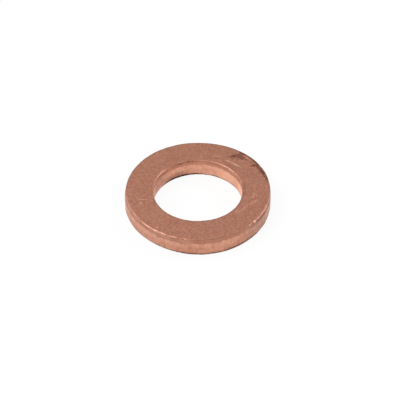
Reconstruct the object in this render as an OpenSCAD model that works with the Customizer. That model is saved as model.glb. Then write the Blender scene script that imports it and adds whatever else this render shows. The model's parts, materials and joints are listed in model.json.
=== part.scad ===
// Copper crush washer: one flat ring blanked from soft copper strip.
// The bore axis is Z and the ring lies on its lower sealing face at z = 0.

/* [Ring] */
// Diameter of the outer wall
outer_d = 16.5; // [14:0.1:24]
// Diameter of the bore wall, which clears an M10 thread
bore_d = 10; // [6:0.1:12]
// Thickness between the two sealing faces
thickness = 2.2; // [1.6:0.05:3]

/* [Blanked edges] */
// Height of the wall that is drawn in below the top face
top_roll_h = 0.5; // [0.2:0.05:0.7]
// Height of the wall that is drawn in above the bottom face
bottom_roll_h = 0.35; // [0.2:0.05:0.7]
// How far a wall is drawn in by the time it reaches a face
draw_in = 0.08; // [0.02:0.01:0.2]
// Radius of the corner where a drawn-in wall meets a face
corner_r = 0.08; // [0.02:0.01:0.1]

/* [Hidden] */
$fn = 128;
copper = [0.70, 0.47, 0.38];
outer_r = outer_d / 2;
bore_r = bore_d / 2;
// How far a cutter runs past the faces that it trims
past = 0.1;

// Radius of the arc that leaves a wall straight and is draw_in deep after roll_h
function roll_radius(roll_h) = (draw_in * draw_in + roll_h * roll_h) / (2 * draw_in);

// Distance from the wall to the centre of the corner that touches both the arc and the face
function corner_inset(roll_h) =
    let (arc_r = roll_radius(roll_h))
    arc_r - sqrt(pow(arc_r - corner_r, 2) - pow(roll_h - corner_r, 2));

// What blanking takes off a square corner, with the wall on x = 0 and the face on y = 0
module blanked_corner(roll_h) {
    arc_r = roll_radius(roll_h);
    arc_centre = [-arc_r, -roll_h];
    corner_centre = [-corner_inset(roll_h), -corner_r];
    // Direction from the arc's centre to the point where the corner takes over from it
    lead = (corner_centre - arc_centre) / (arc_r - corner_r);
    meet = arc_centre + arc_r * lead;
    tip_x = meet.x + meet.y * lead.y / lead.x;

    difference() {
        translate([-draw_in, -roll_h])
            square([draw_in + past, roll_h + past]);
        translate(arc_centre)
            circle(arc_r);
    }
    difference() {
        polygon([meet, [tip_x, 0], [corner_centre.x, 0]]);
        translate(corner_centre)
            circle(corner_r);
    }
}

// Half section of the ring, with the radius along x and the height along y
module ring_section() {
    difference() {
        translate([bore_r, 0])
            square([outer_r - bore_r, thickness]);
        translate([outer_r, thickness])
            blanked_corner(top_roll_h);
        translate([outer_r, 0])
            mirror([0, 1])
                blanked_corner(bottom_roll_h);
        translate([bore_r, thickness])
            mirror([1, 0])
                blanked_corner(top_roll_h);
        translate([bore_r, 0])
            rotate(180)
                blanked_corner(bottom_roll_h);
    }
}

module washer() {
    color(copper)
        rotate_extrude()
            ring_section();
}

washer();
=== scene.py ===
import json
import math
import random

import bmesh
import bpy
from mathutils import Matrix, Vector, kdtree, noise


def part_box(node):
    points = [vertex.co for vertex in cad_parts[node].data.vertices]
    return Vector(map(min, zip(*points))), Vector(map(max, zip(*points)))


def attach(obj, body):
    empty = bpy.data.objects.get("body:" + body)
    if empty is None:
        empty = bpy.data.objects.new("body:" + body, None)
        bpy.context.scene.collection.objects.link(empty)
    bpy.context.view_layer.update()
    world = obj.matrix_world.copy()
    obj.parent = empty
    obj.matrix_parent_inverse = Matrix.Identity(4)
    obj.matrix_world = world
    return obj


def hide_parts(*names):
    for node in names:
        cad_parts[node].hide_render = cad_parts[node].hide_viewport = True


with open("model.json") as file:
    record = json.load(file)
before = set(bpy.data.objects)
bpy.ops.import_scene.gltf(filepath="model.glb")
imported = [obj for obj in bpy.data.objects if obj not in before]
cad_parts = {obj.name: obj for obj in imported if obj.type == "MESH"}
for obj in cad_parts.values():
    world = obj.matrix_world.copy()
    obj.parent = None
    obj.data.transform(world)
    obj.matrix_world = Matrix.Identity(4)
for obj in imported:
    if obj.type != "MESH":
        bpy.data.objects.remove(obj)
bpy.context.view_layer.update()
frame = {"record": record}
mm = 0.001
scene = bpy.context.scene
scene.view_settings.view_transform = "Standard"

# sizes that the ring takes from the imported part
ringLow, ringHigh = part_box("washer")
outerR = ringHigh.x
thickness = ringHigh.z - ringLow.z
boreMount = [m for m in frame["record"]["mounts"] if m["name"] == "bore"][0]
boreR = boreMount["dims"]["r_mm"] * mm
midR = (outerR + boreR) / 2
print("frame loaded: outer radius %.2f mm, bore radius %.2f mm" % (outerR / mm, boreR / mm))


def clamp(value):
    return min(1.0, max(0.0, value))


def smooth(value, low, high):
    t = clamp((value - low) / (high - low))
    return t * t * (3 - 2 * t)


# the blanked ring
ring = {
    "wedgeSteps": 28,           # faces round one wedge
    "doublings": 5,             # the wedge is copied and turned until it closes the ring
    "edgeRun": 0.14 * mm,       # uncut strip beside each edge, for the corner to sit in
    "wallCuts": 20,
    "rimWidth": 0.9 * mm,       # finely cut band of the top face inside the outer edge
    "rimCuts": 9,
    "lipWidth": 0.5 * mm,       # finely cut band of the top face round the bore
    "lipCuts": 4,
    "faceCuts": 5,
    "underCuts": 6,
    "cornerR": 0.08 * mm,
    "cornerSegments": 4,
    "touch": 1e-6,              # points this close are one
    "topRoll": 0.50 * mm,       # height of the drawn-in wall under the top face
    "bottomRoll": 0.35 * mm,
    "drawIn": 0.07 * mm,
    "skinDrop": 0.08 * mm,      # the skin ends this far below the drawn-in wall
    "skinBorder": 0.17 * mm,    # half height of the change from skin to sheared metal
    "ledge": 0.006 * mm,        # the sheared band stands proud of the drawn-in skin
    "shearDepth": 0.0025 * mm,  # vertical lines that the punch leaves on the walls
    "swayDepth": 0.006 * mm,    # slow waves of the walls
    "swayMiddle": 0.5,          # where these lie, as a share of their depth
    "faceDepth": 0.0022 * mm,   # hammered unevenness of the sealing faces
    "faceMiddle": 1.2,
    "nicks": 150,
    "nickSeed": 11,
    "nicksOuter": 0.6,          # share of the nicks on the outer wall's edges
    "nicksTop": 0.6,            # share of the nicks on the top edges
    "nickRadius": (0.08 * mm, 0.24 * mm),
    "nickDepth": (0.008 * mm, 0.030 * mm),
}

# uneven places of the metal: waves for each mm across and up, shift, height
waves = {
    "roll": (0.5, 0.0, 4.0, 0.30),              # as a share of topRoll
    "ragged": (1.1, 1.0, 0.0, 0.35),            # as a share of drawIn
    "longTear": (1.9, 0.0, 0.0, 0.08 * mm),     # where the skin ends
    "shortTear": (5.3, 0.0, 0.0, 0.05 * mm),
    "shear": (4.5, 0.35, 0.0, 1.0),             # as a share of shearDepth
    "fineShear": (9.0, 0.5, 7.0, 0.6),
    "sway": (0.6, 0.5, 3.0, 1.0),               # as a share of swayDepth
    "bump": (1.7, 1.7, 0.0, 1.0),               # as a share of faceDepth
    "fineBump": (4.1, 4.1, 0.0, 0.5),
}

# dents from the top right of the rim and the front edge: x, y in mm, radius, depth
rimDents = [
    (4.95, 6.15, 0.40, 0.020),
    (5.40, 5.80, 0.35, 0.022),
    (6.05, 5.25, 0.40, 0.016),
    (6.65, 4.45, 0.35, 0.022),
    (7.25, 3.30, 0.45, 0.026),
    (7.70, 2.00, 0.35, 0.018),
    (6.34, -5.16, 0.24, 0.045),
    (5.85, -5.72, 0.20, 0.030),
    (-1.55, -8.05, 0.16, 0.035),
    (-2.15, -7.90, 0.15, 0.035),
    (-2.62, -7.76, 0.14, 0.030),
    (-3.20, -7.54, 0.15, 0.035),
    (-3.80, -7.26, 0.14, 0.030),
    (-4.55, -6.80, 0.14, 0.020),
]

# slow swells and hollows of the outer wall: direction and half spread in degrees, rise in mm
wallSwells = [
    (52, 44, 0.065),
    (120, 44, 0.030),
    (30, 30, 0.046),
    (186, 16, 0.055),
    (228, 30, -0.045),
    (-14, 26, -0.040),
]
# stretches of the edges that draw in more or less: direction and half spread in degrees, added share
edgeChanges = {
    "outerLow": [(282, 44, -2.0), (232, 34, 0.6)],     # the first kept its burr
    "boreTop": [(146, 40, 0.8), (350, 28, -0.7), (268, 54, -0.4)],
    "boreLow": [(168, 26, 0.9), (40, 36, 0.3)],
    "outerTop": [(338, 18, -0.7)],
}


def startSection(bm):
    # half section of the square ring, each side cut as finely as its detail needs
    run = ring["edgeRun"]
    corners = [
        (boreR, 0, 0),
        (boreR + run, 0, ring["underCuts"]),
        (outerR - run, 0, 0),
        (outerR, 0, 0),
        (outerR, run, ring["wallCuts"]),
        (outerR, thickness - run, 0),
        (outerR, thickness, 0),
        (outerR - run, thickness, ring["rimCuts"]),
        (outerR - ring["rimWidth"], thickness, ring["faceCuts"]),
        (boreR + ring["lipWidth"], thickness, ring["lipCuts"]),
        (boreR + run, thickness, 0),
        (boreR, thickness, 0),
        (boreR, thickness - run, ring["wallCuts"]),
        (boreR, run, 0),
    ]
    verts = [bm.verts.new((r, 0, z)) for r, z, cuts in corners]
    sides = [bm.edges.new((verts[i - 1], verts[i])) for i in range(1, len(verts))]
    sides.append(bm.edges.new((verts[-1], verts[0])))
    for side, (r, z, cuts) in zip(sides, corners):
        if cuts:
            bmesh.ops.subdivide_edges(bm, edges=[side], cuts=cuts)


def onCorner(v):
    r = math.hypot(v.co.x, v.co.y)
    nearWall = min(abs(r - boreR), abs(r - outerR)) < ring["touch"]
    nearFace = min(v.co.z, thickness - v.co.z) < ring["touch"]
    return nearWall and nearFace


def spinRing(bm):
    # one wedge is spun, then copied and turned by its own angle until the ring closes
    turn = 2 * math.pi / 2 ** ring["doublings"]
    bmesh.ops.spin(bm, geom=bm.verts[:] + bm.edges[:], cent=(0, 0, 0), axis=(0, 0, 1),
                   angle=turn, steps=ring["wedgeSteps"], use_merge=False)
    for i in range(ring["doublings"]):
        twin = bmesh.ops.duplicate(bm, geom=bm.verts[:] + bm.edges[:] + bm.faces[:])["geom"]
        bmesh.ops.rotate(bm, verts=[v for v in twin if isinstance(v, bmesh.types.BMVert)],
                         cent=(0, 0, 0), matrix=Matrix.Rotation(turn * 2 ** i, 3, "Z"))
    bmesh.ops.remove_doubles(bm, verts=bm.verts[:], dist=ring["touch"])
    bmesh.ops.recalc_face_normals(bm, faces=bm.faces[:])
    cornerEdges = [e for e in bm.edges if onCorner(e.verts[0]) and onCorner(e.verts[1])]
    bmesh.ops.bevel(bm, geom=cornerEdges, offset=ring["cornerR"], offset_type="OFFSET", affect="EDGES",
                    segments=ring["cornerSegments"], profile=0.5, material=-1)


def swellSum(turn, swells):
    total = 0.0
    for direction, spread, height in swells:
        far = abs((turn - direction + 180) % 360 - 180)
        total += height * smooth(far, spread, 0)
    return total


def waveAt(spot, name):
    # spot in mm
    across, up, shift, height = waves[name]
    return height * noise.noise(Vector((spot.x * across, spot.y * across, spot.z * up + shift)))


def shapeWalls(bm, wallLayer, rimLayer, cutLayer):
    half = outerR - midR
    for v in bm.verts:
        r = v.co.xy.length
        z = v.co.z
        out = v.co.xy.to_3d() / r
        spot = v.co / mm
        turn = math.degrees(math.atan2(v.co.y, v.co.x))
        across = (r - midR) / half      # 1 on the outer wall, -1 on the bore's
        wall = clamp(1 - min(outerR - r, r - boreR) / ring["cornerR"])
        face = clamp(1 - min(z, thickness - z) / ring["cornerR"])
        v[wallLayer] = wall
        v[rimLayer] = clamp(2 * wall * face)
        # the walls draw in towards both faces, a little more in some places than in others
        topRoll = ring["topRoll"] * (1 + waveAt(spot, "roll"))
        climb = max((z - thickness + topRoll) / topRoll, 1 - z / ring["bottomRoll"], 0)
        edge = ("outer" if across > 0 else "bore") + ("Top" if z > thickness / 2 else "Low")
        more = (1 + waveAt(spot, "ragged")) * (1 + swellSum(turn, edgeChanges[edge]))
        r -= ring["drawIn"] * climb ** 2 * across * more
        # under the drawn-in skin the sheared band begins, with an uneven upper edge
        tear = waveAt(spot, "longTear") + waveAt(spot, "shortTear")
        start = thickness - topRoll - ring["skinDrop"] + tear
        skin = smooth(z, start - ring["skinBorder"], start + ring["skinBorder"])
        v[cutLayer] = wall * (1 - skin)
        # punch lines and slow waves on the walls, unevenness on the faces
        depth = ring["shearDepth"] * (1 + waveAt(spot, "shear") + waveAt(spot, "fineShear"))
        depth += ring["swayDepth"] * (ring["swayMiddle"] + waveAt(spot, "sway")) + ring["ledge"] * skin
        r -= math.copysign(depth * wall, across)
        if across > 0:
            r += across ** 3 * swellSum(turn, wallSwells) * mm
        bumps = waveAt(spot, "bump") + waveAt(spot, "fineBump")
        sink = ring["faceDepth"] * (ring["faceMiddle"] + bumps) * face
        z += sink if z < thickness / 2 else -sink
        v.co = out * r + Vector((0, 0, z))


def pressDent(bm, tree, centre, push, radius, depth):
    for place, index, far in tree.find_range(centre, radius):
        fall = 1 - (far / radius) ** 2
        bm.verts[index].co += push * depth * fall * fall


def addDents(bm):
    tree = kdtree.KDTree(len(bm.verts))
    for i, v in enumerate(bm.verts):
        tree.insert(v.co, i)
    tree.balance()
    bm.verts.ensure_lookup_table()
    up = Vector((0, 0, 1))
    for x, y, radius, depth in rimDents:
        out = Vector((x, y, 0)).normalized()
        centre = out * min(math.hypot(x, y) * mm, outerR - ring["drawIn"]) + up * thickness
        pressDent(bm, tree, centre, (-out - up).normalized(), radius * mm, depth * mm)
    # small nicks along all four edges
    rng = random.Random(ring["nickSeed"])
    for i in range(ring["nicks"]):
        turn = rng.uniform(0, 2 * math.pi)
        out = Vector((math.cos(turn), math.sin(turn), 0))
        onOuter = rng.random() < ring["nicksOuter"]
        onTop = rng.random() < ring["nicksTop"]
        edgeR = outerR - ring["drawIn"] if onOuter else boreR + ring["drawIn"]
        inward = -out if onOuter else out
        down = -up if onTop else up
        centre = out * edgeR + up * (thickness if onTop else 0)
        radius = rng.uniform(*ring["nickRadius"])
        depth = rng.uniform(*ring["nickDepth"])
        pressDent(bm, tree, centre, (inward + down).normalized(), radius, depth)


# how every mark is laid on the ring, in mm
marking = {
    "core": 0.2,            # share of a mark's size that has its full strength
    "faceReach": 0.5,       # how deep marks of the top face and of the walls reach into the metal
    "wallReach": 1.2,
    "rimDrop": 0.03,        # marks along the edges sit this far below the top face
    "edgeWidth": 0.4,       # how far from an edge the marks of the walls can reach
    "wobble": 0.10,         # how far their outlines wander
    "wobblePace": 3.0,      # waves of that for each mm
    "wobbleSeed": 3,
}


def markAmount(spot, marks):
    # the strongest mark at a spot
    most = 0.0
    for centre, size, turn, strength in marks:
        gap = spot - Vector(centre)
        if gap.length < max(size):
            gap.rotate(Matrix.Rotation(-math.radians(turn), 3, "Z"))
            far = math.hypot(gap.x / size[0], gap.y / size[1], gap.z / size[2])
            most = max(most, strength * smooth(far, 1.0, marking["core"]))
    return most


def markWalls(bm, layers):
    # marks of the walls and edges are kept on the points of the mesh, with uneven outlines
    noise.seed_set(marking["wobbleSeed"])
    for v in bm.verts:
        r = v.co.xy.length
        if min(outerR - r, r - boreR) < marking["edgeWidth"] * mm:
            spot = v.co / mm
            spot += noise.noise_vector(spot * marking["wobblePace"]) * marking["wobble"]
            for name, layer in layers.items():
                v[layer] = markAmount(spot, edgeMarks[name])


def makeRing():
    bm = bmesh.new()
    markLayers = {name: bm.verts.layers.float.new(name) for name in edgeMarks}
    wallLayer = bm.verts.layers.float.new("wallAmount")
    rimLayer = bm.verts.layers.float.new("rimAmount")
    cutLayer = bm.verts.layers.float.new("cutAmount")
    startSection(bm)
    spinRing(bm)
    shapeWalls(bm, wallLayer, rimLayer, cutLayer)
    addDents(bm)
    markWalls(bm, markLayers)
    bmesh.ops.recalc_face_normals(bm, faces=bm.faces[:])
    for f in bm.faces:
        f.smooth = True
    mesh = bpy.data.meshes.new("copperRing")
    bm.to_mesh(mesh)
    bm.free()
    piece = bpy.data.objects.new("copperRing", mesh)
    scene.collection.objects.link(piece)
    print("ring made:", len(mesh.vertices), "points,", len(mesh.polygons), "faces")
    return piece


# node helpers
def put(tree, kind, inputs=None, **settings):
    node = tree.nodes.new(kind)
    for name, value in settings.items():
        setattr(node, name, value)
    for socket, value in (inputs or {}).items():
        if isinstance(value, bpy.types.NodeSocket):
            tree.links.new(value, node.inputs[socket])
        else:
            node.inputs[socket].default_value = value
    return node


def ramp(tree, value, low, high, lowTo=0.0, highTo=1.0):
    node = put(tree, "ShaderNodeMapRange", {0: value, 1: low, 2: high, 3: lowTo, 4: highTo},
               interpolation_type="SMOOTHSTEP")
    return node.outputs[0]


def mixColour(tree, amount, first, second, blend="MIX"):
    node = put(tree, "ShaderNodeMix", {0: amount, 6: first, 7: second}, data_type="RGBA", blend_type=blend)
    return node.outputs[2]


def mixValue(tree, amount, first, second):
    return put(tree, "ShaderNodeMix", {0: amount, 2: first, 3: second}).outputs[0]


def calc(tree, operation, first, second=0.0):
    return put(tree, "ShaderNodeMath", {0: first, 1: second}, operation=operation).outputs[0]


def times(tree, first, second):
    return calc(tree, "MULTIPLY", first, second)


def plus(tree, first, second):
    return calc(tree, "ADD", first, second)


def grainOf(tree, place, scale, detail, rough, stretch=None):
    vector = place
    if stretch:
        vector = put(tree, "ShaderNodeMapping", {0: place, 3: stretch}).outputs[0]
    return put(tree, "ShaderNodeTexNoise", {0: vector, 2: scale, 3: detail, 4: rough}).outputs[0]


def wanderOf(tree, place, scale, detail, rough, reach):
    # coordinates that wander, so that what is laid on them has an uneven outline
    cloud = put(tree, "ShaderNodeTexNoise", {0: place, 2: scale, 3: detail, 4: rough}).outputs["Color"]
    shift = put(tree, "ShaderNodeVectorMath", {0: cloud, 1: (-0.5, -0.5, -0.5)}, operation="ADD").outputs[0]
    shift = put(tree, "ShaderNodeVectorMath", {0: shift, 3: reach}, operation="SCALE").outputs[0]
    return put(tree, "ShaderNodeVectorMath", {0: place, 1: shift}, operation="ADD").outputs[0]


# the copper finish: dull strip skin on the faces and their drawn-in edges,
# fresher metal on the sheared walls
copper = {
    "skinDark": (0.460, 0.200, 0.131, 1),
    "skinLight": (0.542, 0.264, 0.181, 1),
    # roll: the outer drawn-in edges, partly their strip skin and partly painted shade of the band that
    # tilts away
    "roll": (0.425, 0.182, 0.116, 1),
    "boreRoll": (0.640, 0.290, 0.190, 1),
    "cutDark": (0.505, 0.218, 0.140, 1),
    "cutLight": (0.765, 0.384, 0.266, 1),
    "boreDark": (0.655, 0.338, 0.232, 1),
    "boreLight": (0.915, 0.520, 0.374, 1),
    "tarnishAndShade": (0.380, 0.231, 0.180, 1),
    # near-black colour of the painted shade lines at the lower edges and at the rims
    "darkShade": (0.110, 0.062, 0.050, 1),
    "oxide": (0.230, 0.088, 0.056, 1),
    "stainAndShade": (0.050, 0.026, 0.023, 1),
    "scuffAndHighlight": (0.900, 0.525, 0.396, 1),
    "paintedLight": (0.965, 0.570, 0.412, 1),
    "warmer": (1.020, 0.986, 0.952, 1),
    "greyer": (0.980, 1.014, 1.048, 1),
}

# noise of the finish: scale, detail, roughness, and a stretch or how far an outline wanders
grains = {
    "cloud": (700, 4, 0.55),
    "fleck": (4700, 1, 0.55),
    "patch": (850, 3, 0.55),
    "blotch": (1900, 3, 0.55),
    "hue": (900, 4, 0.7),
    "streak": (1.0, 4, 0.6, (5200, 5200, 1100)),
    "stroke": (1.0, 3, 0.6),
    "faceGrain": (4000, 2, 0.55),
    "wallLines": (1.0, 3, 0.6, (9000, 9000, 1100)),
    "scuffEdge": (2600, 3, 0.5, 0.16 * mm),
    "stainEdge": (3400, 5, 0.65, 0.55 * mm),
}

# how the coats of the finish are laid on: from, to, and the two amounts that these become
coats = {
    "boreSide": (midR + 0.2 * mm, midR - 0.2 * mm),           # from the outer wall's colours to the bore's
    "skin": (0.34, 0.66),                                     # mottle of the strip skin
    "fleckShare": 0.75,
    "roll": (0.36, 0.62, 0.10, 0.70),                         # patches of the drawn-in edges
    "tone": (0.36, 0.64, 0.0, 0.6),                           # streaks of the sheared walls
    "burnish": (0.95 * mm, 1.40 * mm),                        # from torn to burnished metal, by height
    "burnishRag": 0.30 * mm,                                  # how uneven that border is
    "outerBurnish": (0.0, 1.0, 0.02, 0.37),
    "boreBurnish": (0.0, 1.0, 0.10, 0.36),
    "fresh": (0.55, 1.30),                                    # from skin to sheared metal
    "freshRag": 0.8,
    "hue": (0.36, 0.64),
    "darkShade": (0.42 * mm, 0.18 * mm, 0.0, 0.75),                # heights of the painted shade line at the lower edges
    "darkShadeRag": 0.20 * mm,
    "outerLine": (outerR - 0.26 * mm, outerR - 0.08 * mm),    # thin line of painted shade at the rims
    "boreLine": (boreR + 0.26 * mm, boreR + 0.08 * mm),
    "lineHigh": (thickness - 0.3 * mm, thickness - 0.1 * mm),
    "lineBack": (-1.0 * mm, 2.0 * mm, 0.0, 0.40),
    "strokeTurn": (0, math.radians(-12), math.radians(60)),   # slanting strokes of the tarnish
    "strokeSize": (0.9 * mm, 0.9 * mm, 0.21 * mm),
    "stroke": (0.43, 0.58, 0.25, 1.0),
    "oxide": (0.0, 0.55),
    "stainAndShade": (0.35, 1.0),
    "rough": (0.3, 0.7, 0.46, 0.56),                          # roughness of the skin
    "rimRough": -0.12,                                        # what is added to it
    "wornRough": 0.34,
    "stainRough": 0.15,
    "boreRough": 0.16,
    "bumpStrength": 0.18,
    "bumpDepth": 0.02 * mm,
}

# stains and scuffs on the top face: x, y in mm, half length, half width, turn in degrees, strength
stains = [
    (4.10, 5.80, 0.50, 0.38, 10, 0.53),
    (4.40, 5.86, 1.30, 0.55, 15, 0.38),
    (3.82, 5.70, 0.60, 0.22, 15, 0.40),
    (4.85, 5.70, 0.60, 0.60, 20, 0.38),
    (4.80, 5.52, 0.36, 0.26, -30, 0.42),
    (5.08, 5.36, 0.40, 0.26, 20, 0.46),
    (5.52, 5.30, 0.62, 0.15, -45, 0.44),
    (5.10, 6.24, 0.60, 0.34, -40, 0.58),
    (5.58, 5.98, 0.70, 0.26, -43, 0.52),
    (6.08, 5.50, 0.70, 0.26, -48, 0.52),
    (6.46, 5.04, 0.70, 0.30, -52, 0.56),
    (6.72, 4.58, 0.70, 0.28, -55, 0.64),
    (6.74, 4.10, 0.50, 0.28, -50, 0.52),
    (6.92, 3.80, 0.42, 0.26, -50, 0.52),
    (6.38, 4.18, 0.55, 0.36, 20, 0.44),
    (6.14, 4.62, 0.42, 0.28, -20, 0.30),
    (7.26, 3.24, 0.95, 0.55, -64, 0.46),
    (7.46, 2.78, 0.70, 0.36, -66, 0.54),
    (7.82, 1.98, 0.75, 0.26, -74, 0.44),
    (5.57, 5.02, 0.50, 0.25, -48, 0.26),
    (5.31, 5.50, 0.45, 0.24, -45, 0.44),
    (4.53, 5.21, 0.45, 0.30, -40, 0.28),
    (3.93, 5.31, 0.42, 0.22, -30, 0.30),
    (7.56, 2.20, 0.45, 0.20, -72, 0.46),
    (6.98, 3.86, 0.60, 0.14, -60, 0.30),
    (5.28, 0.60, 1.20, 0.20, 96, 0.17),
    (5.16, -0.75, 0.80, 0.18, 82, 0.22),
    (5.70, 3.38, 0.16, 0.16, 0, 0.30),
    (3.15, 4.72, 0.75, 0.10, -45, 0.26),
    (3.50, 4.18, 1.10, 0.08, -40, 0.30),
    (3.66, 4.32, 1.10, 0.08, -42, 0.28),
    (4.98, -6.10, 0.40, 0.28, 20, 0.16),
    (2.68, -5.58, 0.16, 0.14, 0, 0.18),
    (4.50, -3.52, 1.00, 0.07, 53, 0.24),
    (4.80, -3.50, 0.90, 0.07, 53, 0.20),
    (6.05, -1.55, 0.65, 0.08, 60, 0.26),
    (6.55, -1.35, 0.55, 0.08, -55, 0.22),
]
faceScuffsAndGlint = [
    (3.50, 4.92, 0.60, 0.18, -24, 0.50),
    (4.32, 4.32, 0.95, 0.24, -36, 0.48),
    (5.58, 5.42, 0.50, 0.10, -44, 0.55),
    (2.22, 5.79, 1.00, 0.25, -21, 0.16),
    (6.20, -1.10, 0.70, 0.13, 62, 0.45),
    (6.40, -1.90, 0.65, 0.12, 45, 0.45),
    (6.00, -2.20, 0.55, 0.12, 70, 0.42),
    (6.50, -0.80, 0.55, 0.11, -50, 0.36),
    (4.36, -3.50, 0.95, 0.09, 53, 0.42),
    (4.64, -3.58, 1.05, 0.09, 53, 0.46),
    (4.95, -3.40, 1.00, 0.09, 53, 0.36),
    (5.35, -2.70, 0.60, 0.09, 50, 0.30),
    (-6.24, -1.50, 0.75, 0.10, -8, 0.50),
    (-6.47, -2.10, 0.18, 0.18, 0, 0.70),
    (-4.55, -6.10, 0.18, 0.16, 0, 0.75),
    # a painted glint on a nick of the rim
    (6.36, -5.12, 0.20, 0.20, 0, 1.00),
]

# marks on the walls: wall radius, direction in degrees, height in mm, half length, half height, strength
wallTarnishAndShade = [
    (8.2, -36, 1.15, 4.2, 1.50, 0.80),
    (8.2, -4, 1.10, 2.6, 1.60, 0.92),
    (8.2, 198, 1.20, 2.6, 1.40, 0.42),
    # the bore's entries are painted shade of its left side, darker low down
    (5.0, 150, 1.20, 3.0, 1.60, 0.42),
    (5.0, 162, 1.00, 1.6, 1.40, 0.50),
    (5.0, 138, 0.55, 1.8, 0.90, 0.40),
    (5.0, 122, 0.45, 3.6, 0.85, 0.40),
]
# the dark lines along the lower edges and just under the top edges, and the low patches on the bore's left,
# are painted shade; the marks at the far bore rim are stains
wallStainsAndShade = [
    (8.2, -29, 1.92, 2.2, 0.18, 0.54),
    (8.2, -17, 1.90, 1.4, 0.20, 0.46),
    (8.2, -48, 0.16, 6.4, 0.28, 0.44),
    (8.2, -16, 0.20, 3.8, 0.32, 0.60),
    (8.2, -104, 0.12, 4.4, 0.22, 0.34),
    (5.0, 118, 0.18, 3.2, 0.30, 0.80),
    (5.0, 96, 0.16, 1.6, 0.28, 0.66),
    (5.05, 112, 2.06, 0.60, 0.16, 0.31),
    (5.05, 103, 2.08, 0.45, 0.16, 0.30),
    (5.05, 97, 2.12, 0.30, 0.14, 0.28),
    (5.05, 91, 2.08, 0.30, 0.12, 0.20),
    (5.05, 140, 1.84, 1.5, 0.14, 0.26),
    (5.06, 4, 2.12, 1.60, 0.17, 0.27),
    (5.0, 152, 1.05, 3.0, 1.40, 0.17),
    (5.0, 124, 0.45, 3.2, 0.85, 0.18),
]
# the broad pale patches on the left wall are painted light from the left lamp, the narrow pale lines
# painted highlights; the rest are scuffs
wallScuffsAndLight = [
    (8.2, 208, 1.36, 0.50, 0.20, 1.00),
    (8.2, 187, 1.10, 1.60, 0.90, 0.44),
    (8.2, 202, 1.00, 2.60, 1.40, 0.18),
    (8.2, 226, 1.00, 3.40, 1.40, 0.20),
    (8.2, 213, 1.95, 0.90, 0.40, 0.20),
    (8.2, 200, 1.78, 0.60, 0.36, 0.26),
    (8.2, 248, 1.00, 1.60, 0.90, 0.20),
    (8.2, 238, 1.92, 2.40, 0.36, 0.24),
    (8.2, 258, 1.90, 1.80, 0.36, 0.17),
    (8.2, 311, 1.88, 1.10, 0.34, 0.14),
    (8.2, 278, 0.70, 1.40, 0.60, 0.12),
    (8.2, 290, 0.80, 1.70, 0.70, 0.22),
]

# stretches of the top edges, dulled, or made pale with painted highlight:
# edge radius, direction in degrees, half length, half width, strength
rimDull = [
    (8.14, 200, 1.5, 0.36, 1.00),
    (8.14, 214, 1.1, 0.36, 1.00),
    (8.14, 228, 0.9, 0.34, 0.25),
    (8.14, 256, 0.6, 0.34, 0.70),
    (8.14, 266, 0.9, 0.34, 0.60),
    (5.10, 10, 1.2, 0.34, 1.00),
    (5.10, 24, 0.9, 0.34, 0.90),
    (5.10, 60, 1.0, 0.34, 0.25),
    (5.10, 160, 0.8, 0.34, 0.60),
    (8.14, 330, 1.4, 0.34, 0.65),
    (8.14, 345, 0.8, 0.34, 0.10),
]
# pale stretches of the top edges: mostly painted highlight where the lamps glint, partly rubbed edges
rimScuffsAndHighlights = [
    (8.14, 209, 0.6, 0.18, 0.22),
    (8.14, 199, 1.1, 0.30, 0.24),
    (8.14, 189, 0.7, 0.30, 0.30),
    (8.14, 226, 1.1, 0.18, 0.62),
    (8.14, 234, 0.4, 0.20, 0.75),
    (8.14, 240, 0.7, 0.18, 0.46),
    (8.14, 250, 0.35, 0.18, 0.42),
    (8.14, 259.3, 0.14, 0.16, 0.45),
    (5.09, 42, 0.8, 0.16, 0.28),
    (5.09, 54, 0.5, 0.16, 0.40),
    (5.09, 136, 0.35, 0.16, 0.45),
    (8.14, 316, 0.35, 0.18, 0.32),
    (8.14, 340, 0.6, 0.18, 0.45),
    (8.14, 326, 1.0, 0.20, 0.30),
    (8.14, 333, 1.0, 0.20, 0.36),
    (5.09, 142, 1.1, 0.16, 0.36),
]
# painted light on the bore's far right wall, where the left lamp falls, listed as the other marks on the
# walls
borePaintedLight = [
    (5.0, 12, 1.10, 2.4, 1.8, 1.00),
    (5.0, 48, 0.90, 2.4, 1.5, 0.72),
    (5.0, 84, 0.90, 2.0, 1.5, 0.12),
    (5.0, 70, 0.55, 1.3, 0.9, 0.35),
]


def spotMask(tree, place, spots):
    total = None
    for centre, size, turn, strength in spots:
        local = put(tree, "ShaderNodeMapping",
                    {0: place, 1: [c * mm for c in centre], 2: (0, 0, math.radians(turn)),
                     3: [c * mm for c in size]}, vector_type="TEXTURE").outputs[0]
        far = put(tree, "ShaderNodeVectorMath", {0: local}, operation="LENGTH").outputs["Value"]
        mask = ramp(tree, far, 1.0, marking["core"], 0.0, strength)
        total = mask if total is None else calc(tree, "MAXIMUM", total, mask)
    return total


# each kind of mark as centre, half sizes, turn in degrees and strength
def faceSpots(marks):
    top = thickness / mm
    deep = marking["faceReach"]
    return [((x, y, top), (length, width, deep), turn, strength)
            for x, y, length, width, turn, strength in marks]


def roundSpot(r, direction, height, size, strength):
    a = math.radians(direction)
    return (r * math.cos(a), r * math.sin(a), height), size, direction + 90, strength


def wallSpots(marks):
    deep = marking["wallReach"]
    return [roundSpot(r, direction, height, (length, deep, tall), strength)
            for r, direction, height, length, tall, strength in marks]


def rimSpots(marks):
    height = thickness / mm - marking["rimDrop"]
    return [roundSpot(r, direction, height, (length, width, width), strength)
            for r, direction, length, width, strength in marks]


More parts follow.
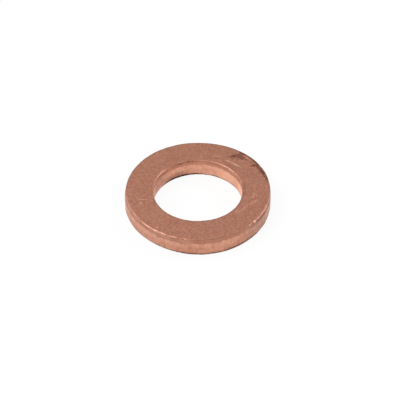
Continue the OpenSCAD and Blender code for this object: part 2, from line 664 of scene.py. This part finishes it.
edgeMarks = {
    "tarnishAndShadeAmount": wallSpots(wallTarnishAndShade),
    "stainAndShadeAmount": wallSpots(wallStainsAndShade),
    "scuffAndHighlightAmount": wallSpots(wallScuffsAndLight) + rimSpots(rimScuffsAndHighlights),
    "dulledAmount": rimSpots(rimDull),
    "paintedLightAmount": wallSpots(borePaintedLight),
}


def amountOf(tree, name):
    return put(tree, "ShaderNodeAttribute", attribute_name=name).outputs["Fac"]


def makeCopper():
    material = bpy.data.materials.new("handledCopper")
    material.use_nodes = True
    tree = material.node_tree
    shader = tree.nodes["Principled BSDF"]
    place = put(tree, "ShaderNodeTexCoord").outputs["Object"]
    parts = put(tree, "ShaderNodeSeparateXYZ", {0: place})
    deep = parts.outputs["Y"]
    high = parts.outputs["Z"]
    flat = put(tree, "ShaderNodeVectorMath", {0: place, 1: (1, 1, 0)}, operation="MULTIPLY").outputs[0]
    radius = put(tree, "ShaderNodeVectorMath", {0: flat}, operation="LENGTH").outputs["Value"]
    bore = ramp(tree, radius, *coats["boreSide"])
    wall = amountOf(tree, "wallAmount")
    rim = amountOf(tree, "rimAmount")
    cut = amountOf(tree, "cutAmount")

    # mottled strip skin
    cloud = grainOf(tree, place, *grains["cloud"])
    fleck = grainOf(tree, place, *grains["fleck"])
    mottle = mixValue(tree, coats["fleckShare"], cloud, fleck)
    colour = mixColour(tree, ramp(tree, mottle, *coats["skin"]), copper["skinDark"], copper["skinLight"])
    patch = grainOf(tree, place, *grains["patch"])
    drawnSkinAndShade = mixColour(tree, bore, copper["roll"], copper["boreRoll"])
    # painted shade: the outer drawn-in edges take a colour darker than the skin, partly skin and partly
    # shade
    colour = mixColour(tree, times(tree, wall, ramp(tree, patch, *coats["roll"])), colour, drawnSkinAndShade)
    # sheared walls, faintly streaked and blotched: burnished above, torn and duller below
    streak = grainOf(tree, place, *grains["streak"])
    blotch = grainOf(tree, place, *grains["blotch"])
    tone = ramp(tree, mixValue(tree, 0.5, streak, blotch), *coats["tone"])
    uneven = plus(tree, high, times(tree, blotch, coats["burnishRag"]))
    burnish = ramp(tree, uneven, *coats["burnish"])
    outerTone = plus(tree, tone, ramp(tree, burnish, *coats["outerBurnish"]))
    boreTone = plus(tree, tone, ramp(tree, burnish, *coats["boreBurnish"]))
    outerCut = mixColour(tree, outerTone, copper["cutDark"], copper["cutLight"])
    boreCut = mixColour(tree, boreTone, copper["boreDark"], copper["boreLight"])
    # painted light on the bore's far right wall
    boreCut = mixColour(tree, amountOf(tree, "paintedLightAmount"), boreCut, copper["paintedLight"])
    torn = plus(tree, cut, times(tree, blotch, coats["freshRag"]))
    fresh = ramp(tree, torn, *coats["fresh"])
    colour = mixColour(tree, fresh, colour, mixColour(tree, bore, outerCut, boreCut))
    # warmer and greyer patches all over
    hue = ramp(tree, grainOf(tree, place, *grains["hue"]), *coats["hue"])
    tint = mixColour(tree, hue, copper["warmer"], copper["greyer"])
    colour = mixColour(tree, 1.0, colour, tint, "MULTIPLY")
    # painted shade: a dark line along the lower edges, where the ring meets the table
    low = plus(tree, high, times(tree, blotch, coats["darkShadeRag"]))
    darkShade = times(tree, ramp(tree, low, *coats["darkShade"]), wall)
    colour = mixColour(tree, darkShade, colour, copper["darkShade"])
    # painted shade: a thin dark line on the far outer rim and the near bore rim, where these edges turn
    # away
    back = mixValue(tree, bore, deep, times(tree, deep, -1.0))
    outerLine = ramp(tree, radius, *coats["outerLine"])
    boreLine = ramp(tree, radius, *coats["boreLine"])
    line = times(tree, calc(tree, "MAXIMUM", outerLine, boreLine), ramp(tree, back, *coats["lineBack"]))
    line = times(tree, line, ramp(tree, high, *coats["lineHigh"]))
    colour = mixColour(tree, line, colour, copper["darkShade"])
    # tarnish of the walls, in slanting strokes; on the bore's left side the same colour is painted shade,
    # darker low down
    slant = put(tree, "ShaderNodeMapping", {0: place, 2: coats["strokeTurn"], 3: coats["strokeSize"]},
                vector_type="TEXTURE").outputs[0]
    stroke = ramp(tree, grainOf(tree, slant, *grains["stroke"]), *coats["stroke"])
    tarnishAndShadeMask = times(tree, times(tree, amountOf(tree, "tarnishAndShadeAmount"), wall), stroke)
    colour = mixColour(tree, tarnishAndShadeMask, colour, copper["tarnishAndShade"])
    # scuffs and stains, those of the top face with uneven outlines; on the walls and edges these also carry
    # painted highlight, painted light and painted shade
    loose = wanderOf(tree, place, *grains["scuffEdge"])
    frayed = wanderOf(tree, place, *grains["stainEdge"])
    scuffAndHighlight = calc(tree, "MAXIMUM", spotMask(tree, loose, faceSpots(faceScuffsAndGlint)), amountOf(tree, "scuffAndHighlightAmount"))
    stainAndShade = calc(tree, "MAXIMUM", spotMask(tree, frayed, faceSpots(stains)), amountOf(tree, "stainAndShadeAmount"))
    colour = mixColour(tree, scuffAndHighlight, colour, copper["scuffAndHighlight"])
    colour = mixColour(tree, ramp(tree, stainAndShade, *coats["oxide"]), colour, copper["oxide"])
    colour = mixColour(tree, ramp(tree, stainAndShade, *coats["stainAndShade"]), colour, copper["stainAndShade"])
    tree.links.new(colour, shader.inputs["Base Color"])

    rough = ramp(tree, fleck, *coats["rough"])
    rough = plus(tree, rough, times(tree, rim, coats["rimRough"]))
    worn = times(tree, amountOf(tree, "dulledAmount"), rim)
    rough = plus(tree, rough, times(tree, worn, coats["wornRough"]))
    rough = plus(tree, rough, times(tree, stainAndShade, coats["stainRough"]))
    rough = plus(tree, rough, times(tree, times(tree, bore, fresh), coats["boreRough"]))
    tree.links.new(rough, shader.inputs["Roughness"])
    shader.inputs["Metallic"].default_value = 1.0

    # fine grain of the faces and fine punch lines of the walls
    faceGrain = grainOf(tree, place, *grains["faceGrain"])
    wallLines = grainOf(tree, place, *grains["wallLines"])
    height = mixValue(tree, wall, faceGrain, wallLines)
    bump = put(tree, "ShaderNodeBump", {"Strength": coats["bumpStrength"], "Distance": coats["bumpDepth"],
                                        "Height": height})
    tree.links.new(bump.outputs[0], shader.inputs["Normal"])
    return material


copperRing = makeRing()
copperRing.data.materials.append(makeCopper())
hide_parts("washer")
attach(copperRing, "root")
print("copper finish on")

# white table in a soft room, with a wide light box on the left and a smaller one on the right
room = {
    "tableSize": 0.6,
    "tableDrop": 0.004 * mm,
    "paper": (0.90, 0.90, 0.90, 1),
    "white": (1.0, 1.0, 1.0, 1),
    "paperGlow": 0.90,          # share of plain white that the camera and the metal see in the table
    "airStrength": 0.60,
}
# each light: azimuth from the front towards the right, elevation, distance, width, height, power
lamps = {
    "leftBox": (-88, 46, 0.33, 0.47, 0.46, 1.15),
    "rightBox": (112, 30, 0.33, 0.22, 0.20, 0.40),
}


def makePaper():
    # the table is white to the camera and in the metal, and keeps part of the ring's shadow
    paper = bpy.data.materials.new("whitePaper")
    paper.use_nodes = True
    tree = paper.node_tree
    tree.nodes.remove(tree.nodes["Principled BSDF"])
    path = put(tree, "ShaderNodeLightPath")
    seen = calc(tree, "MAXIMUM", path.outputs["Is Camera Ray"], path.outputs["Is Glossy Ray"])
    seen = calc(tree, "MAXIMUM", seen, path.outputs["Is Transmission Ray"])
    share = calc(tree, "MULTIPLY", seen, room["paperGlow"])
    matte = put(tree, "ShaderNodeBsdfDiffuse", {"Color": room["paper"]})
    glow = put(tree, "ShaderNodeEmission", {"Color": room["white"], "Strength": 1.0})
    both = put(tree, "ShaderNodeMixShader", {0: share, 1: matte.outputs[0], 2: glow.outputs[0]})
    tree.links.new(both.outputs[0], tree.nodes["Material Output"].inputs["Surface"])
    return paper


def makeTable():
    bm = bmesh.new()
    bmesh.ops.create_grid(bm, x_segments=1, y_segments=1, size=room["tableSize"],
                          matrix=Matrix.Translation((0, 0, -room["tableDrop"])))
    mesh = bpy.data.meshes.new("table")
    bm.to_mesh(mesh)
    bm.free()
    table = bpy.data.objects.new("table", mesh)
    scene.collection.objects.link(table)
    mesh.materials.append(makePaper())


def makeLamp(name, azimuth, elevation, far, width, height, power):
    lamp = bpy.data.lights.new(name, "AREA")
    lamp.shape = "RECTANGLE"
    lamp.size = width
    lamp.size_y = height
    lamp.energy = power
    holder = bpy.data.objects.new(name, lamp)
    a = math.radians(azimuth)
    e = math.radians(elevation)
    away = Vector((math.sin(a) * math.cos(e), -math.cos(a) * math.cos(e), math.sin(e)))
    holder.location = away * far
    holder.rotation_euler = away.to_track_quat("Z", "Y").to_euler()
    scene.collection.objects.link(holder)


makeTable()
for name, values in lamps.items():
    makeLamp(name, *values)
air = bpy.data.worlds.new("softRoom")
air.use_nodes = True
sky = air.node_tree.nodes["Background"]
sky.inputs["Color"].default_value = room["white"]
sky.inputs["Strength"].default_value = room["airStrength"]
scene.world = air
print("table and light set")

# the camera of the photograph, a long lens from the front and above
view = {
    "elevation": 42.55,
    "roll": -0.31,
    "far": 266.0 * mm,
    "pixelsPerMm": 8.815,
    "framePixels": 400,
    "ringCentre": (198.06, 197.31),   # pixel of the ring's middle
    "sensor": 36.0,
    "clip": (0.01, 5.0),
}


def makeCamera():
    tilt = math.radians(view["elevation"])
    right = Vector((1, 0, 0))
    up = Vector((0, math.sin(tilt), math.cos(tilt)))
    back = Vector((0, -math.cos(tilt), math.sin(tilt)))
    half = view["framePixels"] / 2
    pixel = mm / view["pixelsPerMm"]
    target = Vector((0, 0, thickness / 2))
    target += right * (half - view["ringCentre"][0]) * pixel
    target -= up * (half - view["ringCentre"][1]) * pixel
    data = bpy.data.cameras.new("camera")
    data.sensor_width = view["sensor"]
    data.lens = view["sensor"] * view["far"] / (view["framePixels"] * pixel)
    data.clip_start, data.clip_end = view["clip"]
    camera = bpy.data.objects.new("camera", data)
    turn = Matrix((right, up, back)).transposed().to_4x4()
    camera.matrix_world = (Matrix.Translation(target + back * view["far"]) @ turn
                           @ Matrix.Rotation(math.radians(view["roll"]), 4, "Z"))
    scene.collection.objects.link(camera)
    scene.camera = camera


makeCamera()
print("camera set")
